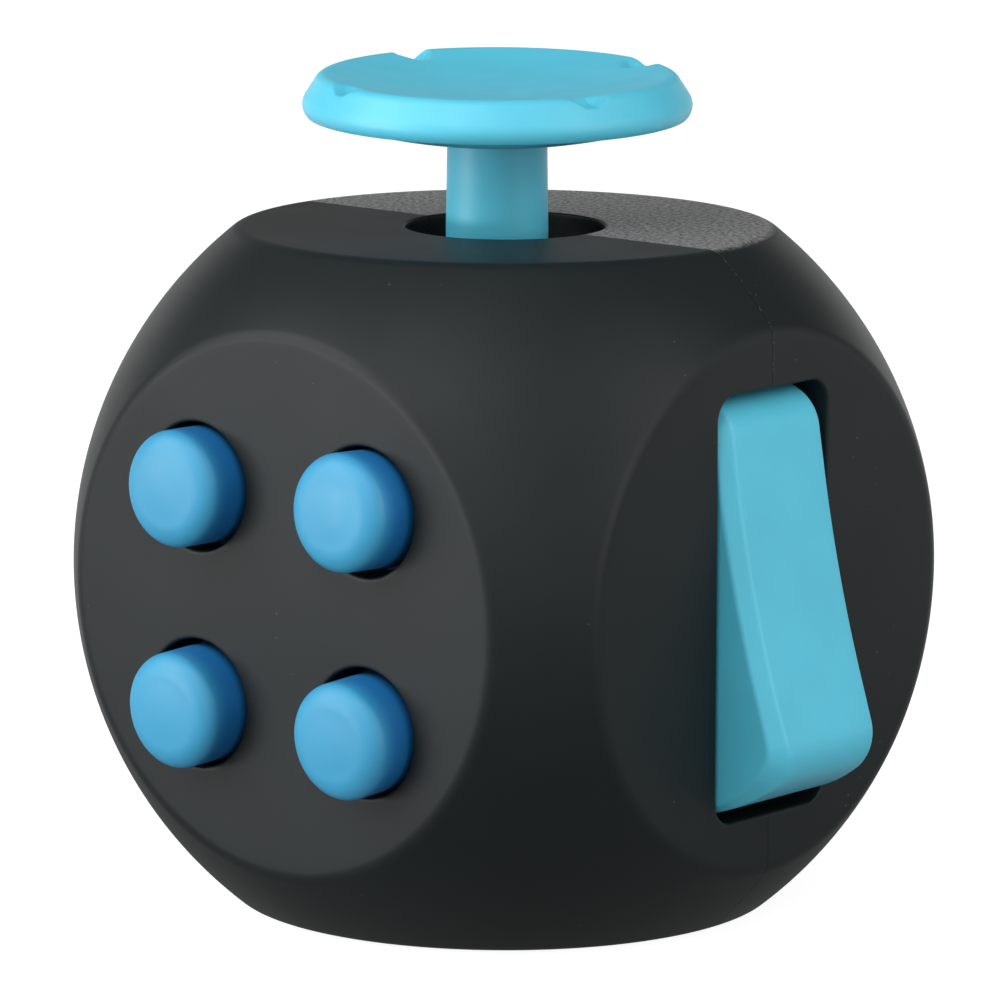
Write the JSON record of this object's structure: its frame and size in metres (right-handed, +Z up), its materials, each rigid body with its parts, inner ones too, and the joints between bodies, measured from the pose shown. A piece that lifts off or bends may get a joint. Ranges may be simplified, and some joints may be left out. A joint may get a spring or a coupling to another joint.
{
  "type": "fidget cube",
  "caption": "Palm-sized ball-cornered cube with push buttons, a rocker, a thumb joystick, a dial, rollers with a ball, and a thumb pad.",
  "frame": {"origin": "middle of the flat underside that the cube rests on", "axes": "+Z up, out of the joystick's face; -Y out of the buttons' face; +X out of the rocker's face"},
  "size_m": [0.04, 0.0374, 0.0407],
  "materials": {
    "smooth_black": "smooth soft-touch matte",
    "grained_black": "spark-textured matte",
    "turquoise": "satin",
    "blue": "satin",
    "white_nylon": "satin",
    "dark_nylon": "matte",
    "steel": "polished",
    "spring_steel": "drawn wire"
  },
  "bodies": {
    "casing": {"front_shell": "smooth_black", "rear_shell": "grained_black", "casing_pin_1": "steel", "casing_pin_2": "steel", "casing_pin_3": "steel", "casing_pin_4": "steel", "thumb_pad": "smooth_black", "joystick_cradle": "dark_nylon", "joystick_spring": "spring_steel", "button_guide_plate": "dark_nylon", "guide_screw_1": "steel", "guide_screw_2": "steel", "button_spring_1": "spring_steel", "button_spring_2": "spring_steel", "button_spring_3": "spring_steel", "button_spring_4": "spring_steel", "rocker_pin": "steel", "rocker_cradle": "dark_nylon", "detent_spring": "spring_steel", "dial_bushing": "white_nylon", "roller_axle": "steel", "roller_cradle": "dark_nylon", "ball_seat": "dark_nylon"},
    "gimbal": {"gimbal_ring": "white_nylon", "gimbal_cross_pin": "steel"},
    "stick": {"joystick_cap": "turquoise", "joystick_stem": "turquoise"},
    "button_1": {"button_1": "blue"},
    "button_2": {"button_2": "blue"},
    "button_3": {"button_3": "blue"},
    "button_4": {"button_4": "blue"},
    "rocker": {"rocker_paddle": "turquoise"},
    "detent": {"detent_plunger": "steel"},
    "dial": {"dial_knob": "turquoise", "dial_washer": "steel", "dial_screw": "steel"},
    "roller_1": {"roller_gear_1": "white_nylon"},
    "roller_2": {"roller_gear_2": "white_nylon"},
    "roller_3": {"roller_gear_3": "white_nylon"},
    "ball": {"rolling_ball": "steel"}
  },
  "joints": [
    {"name": "joystick_fore_aft", "type": "hinge", "parent": "casing", "child": "gimbal", "pos_m": [-0.0003, -0.00025, 0.026], "axis": [1, 0, 0], "range_deg": [-11.4, 8.6], "stiffness_Nm_per_rad": 0.03, "deforming": ["joystick_spring"]},
    {"name": "joystick_side_to_side", "type": "hinge", "parent": "gimbal", "child": "stick", "pos_m": [-0.0003, -0.00025, 0.026], "axis": [0, 0.9997, 0.025], "range_deg": [-11.2, 8.8], "stiffness_Nm_per_rad": 0.03},
    {"name": "button_1_press", "type": "slide", "parent": "casing", "child": "button_1", "axis": [0, 1, 0], "range_m": [0, 0.001], "stiffness_N_per_m": 800, "deforming": ["button_spring_1"]},
    {"name": "button_2_press", "type": "slide", "parent": "casing", "child": "button_2", "axis": [0, 1, 0], "range_m": [0, 0.001], "stiffness_N_per_m": 800, "deforming": ["button_spring_2"]},
    {"name": "button_3_press", "type": "slide", "parent": "casing", "child": "button_3", "axis": [0, 1, 0], "range_m": [0, 0.001], "stiffness_N_per_m": 800, "deforming": ["button_spring_3"]},
    {"name": "button_4_press", "type": "slide", "parent": "casing", "child": "button_4", "axis": [0, 1, 0], "range_m": [0, 0.001], "stiffness_N_per_m": 800, "deforming": ["button_spring_4"]},
    {"name": "rocker_flip", "type": "hinge", "parent": "casing", "child": "rocker", "pos_m": [0.0134, 0, 0.0165], "axis": [0, 1, 0], "range_deg": [0, 26.8]},
    {"name": "detent_slide", "type": "slide", "parent": "casing", "child": "detent", "axis": [1, 0, 0], "range_m": [-0.0006, 0], "stiffness_N_per_m": 500, "deforming": ["detent_spring"]},
    {"name": "dial_spin", "type": "hinge", "parent": "casing", "child": "dial", "pos_m": [-0.0165, 0, 0.0165], "axis": [-1, 0, 0], "continuous": true},
    {"name": "roller_1_spin", "type": "hinge", "parent": "casing", "child": "roller_1", "pos_m": [-0.0037, 0.0133, 0.0209], "axis": [1, 0, 0], "continuous": true},
    {"name": "roller_2_spin", "type": "hinge", "parent": "casing", "child": "roller_2", "pos_m": [0, 0.0133, 0.0209], "axis": [1, 0, 0], "continuous": true},
    {"name": "roller_3_spin", "type": "hinge", "parent": "casing", "child": "roller_3", "pos_m": [0.0037, 0.0133, 0.0209], "axis": [1, 0, 0], "continuous": true},
    {"name": "ball_roll", "type": "hinge", "parent": "casing", "child": "ball", "pos_m": [0, 0.015, 0.0099], "axis": [1, 0, 0], "continuous": true}
  ]
}
